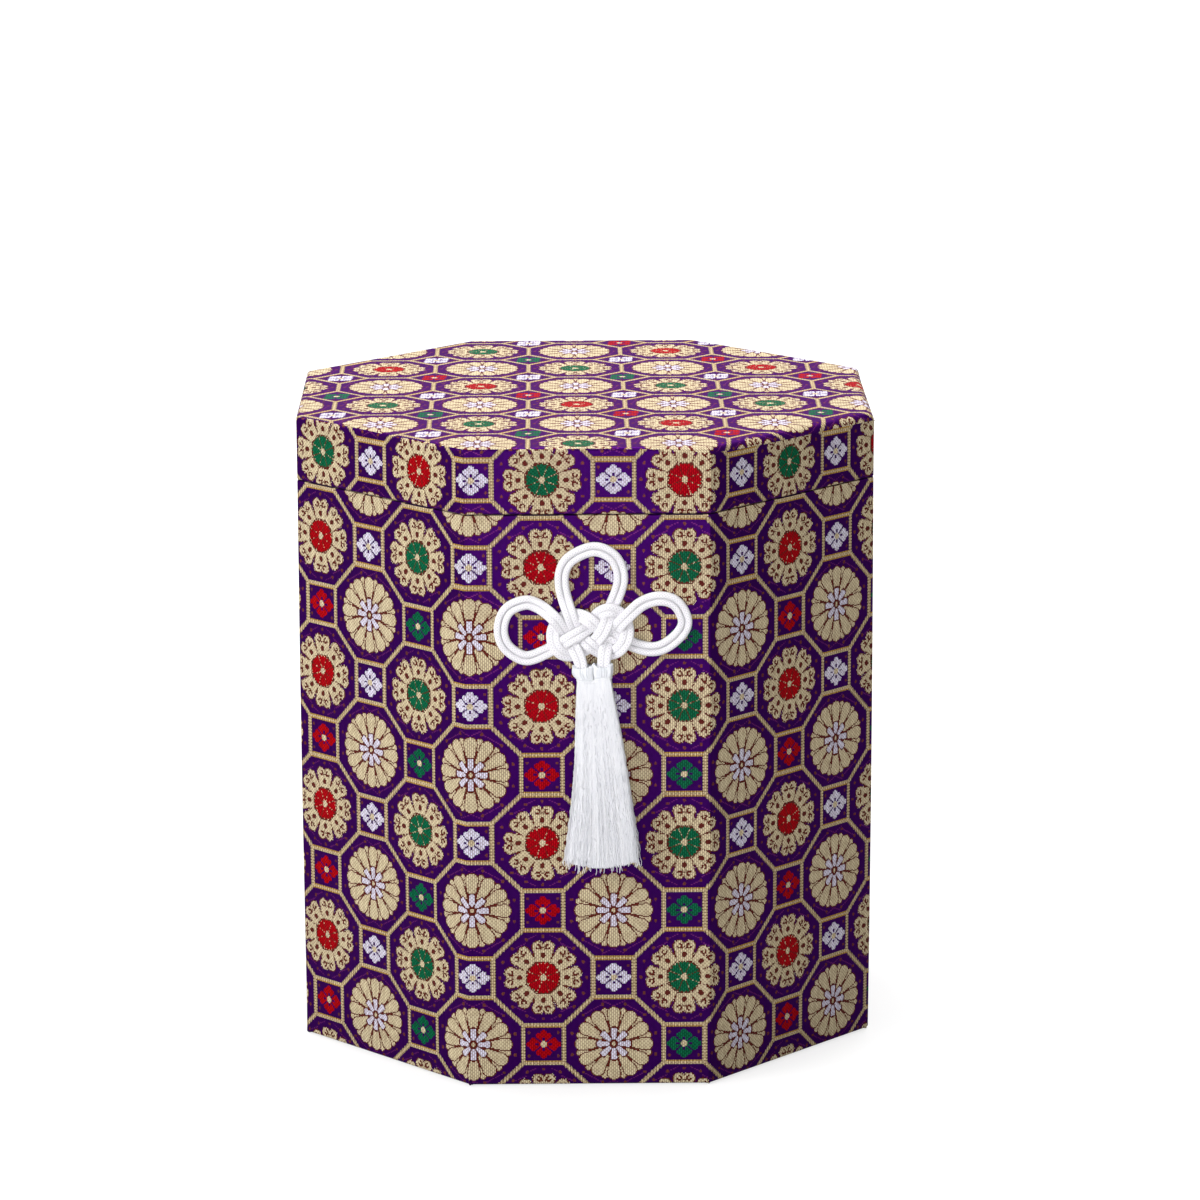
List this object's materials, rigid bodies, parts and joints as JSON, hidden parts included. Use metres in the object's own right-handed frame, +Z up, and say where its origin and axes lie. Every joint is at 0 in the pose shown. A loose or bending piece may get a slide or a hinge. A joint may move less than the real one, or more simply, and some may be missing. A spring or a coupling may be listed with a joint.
{
  "type": "brocade urn box",
  "caption": "Eight-sided board box covered in brocade, with a lift-off lid over an inner collar and a doubled cord knot with a tassel on the front.",
  "frame": {"origin": "middle of the underside", "axes": "+Z up, the front face with the knot to -Y, +X to the right as the front is seen"},
  "size_m": [0.24, 0.2505, 0.2693],
  "materials": {
    "brocade_cloth": "woven purple brocade with a gold pattern",
    "board": "bare",
    "collar": "smooth, bare",
    "lining_paper": "matt paper",
    "cord": "round braid",
    "silk": "loose silky strands"
  },
  "bodies": {
    "box": {"base_board": "board", "base_paper": "lining_paper", "body_brocade": "brocade_cloth", "side_board_front": "board", "side_board_front_right": "board", "side_board_right": "board", "side_board_back_right": "board", "side_board_back": "board", "side_board_back_left": "board", "side_board_left": "board", "side_board_front_left": "board", "collar_board_front": "collar", "collar_board_front_right": "collar", "collar_board_right": "collar", "collar_board_back_right": "collar", "collar_board_back": "collar", "collar_board_back_left": "collar", "collar_board_left": "collar", "collar_board_front_left": "collar", "wall_lining": "lining_paper", "floor_lining": "lining_paper", "knot_cord": "cord"},
    "lid": {"lid_band_brocade": "brocade_cloth", "lid_top_brocade": "brocade_cloth", "lid_wadding": "silk", "lid_top_board": "board", "lid_lining": "lining_paper", "lid_side_board_front": "board", "lid_side_board_front_right": "board", "lid_side_board_right": "board", "lid_side_board_back_right": "board", "lid_side_board_back": "board", "lid_side_board_back_left": "board", "lid_side_board_left": "board", "lid_side_board_front_left": "board"},
    "tassel_heads": {"tassel_head_left": "silk", "tassel_head_right": "silk", "tassel_binding_left": "cord", "tassel_binding_right": "cord"},
    "skirt_left": {"tassel_skirt_left": "silk"},
    "skirt_right": {"tassel_skirt_right": "silk"}
  },
  "joints": [
    {"name": "lid_lift", "type": "slide", "parent": "box", "child": "lid", "axis": [0, 0, 1], "range_m": [0, 0.16]},
    {"name": "tassel_lift", "type": "hinge", "parent": "box", "child": "tassel_heads", "pos_m": [0.0014, -0.1246, 0.17769], "axis": [-1, 0, 0], "range_deg": [0, 90]},
    {"name": "skirt_sway_left", "type": "hinge", "parent": "tassel_heads", "child": "skirt_left", "pos_m": [-0.0025, -0.1246, 0.16919], "axis": [0, 1, 0], "range_deg": [-9, 9]},
    {"name": "skirt_sway_right", "type": "hinge", "parent": "tassel_heads", "child": "skirt_right", "pos_m": [0.0053, -0.1246, 0.16919], "axis": [0, 1, 0], "range_deg": [-9, 9]}
  ],
  "couplings": [
    {"joint": "skirt_sway_right", "follows": "skirt_sway_left", "ratio": 1}
  ]
}
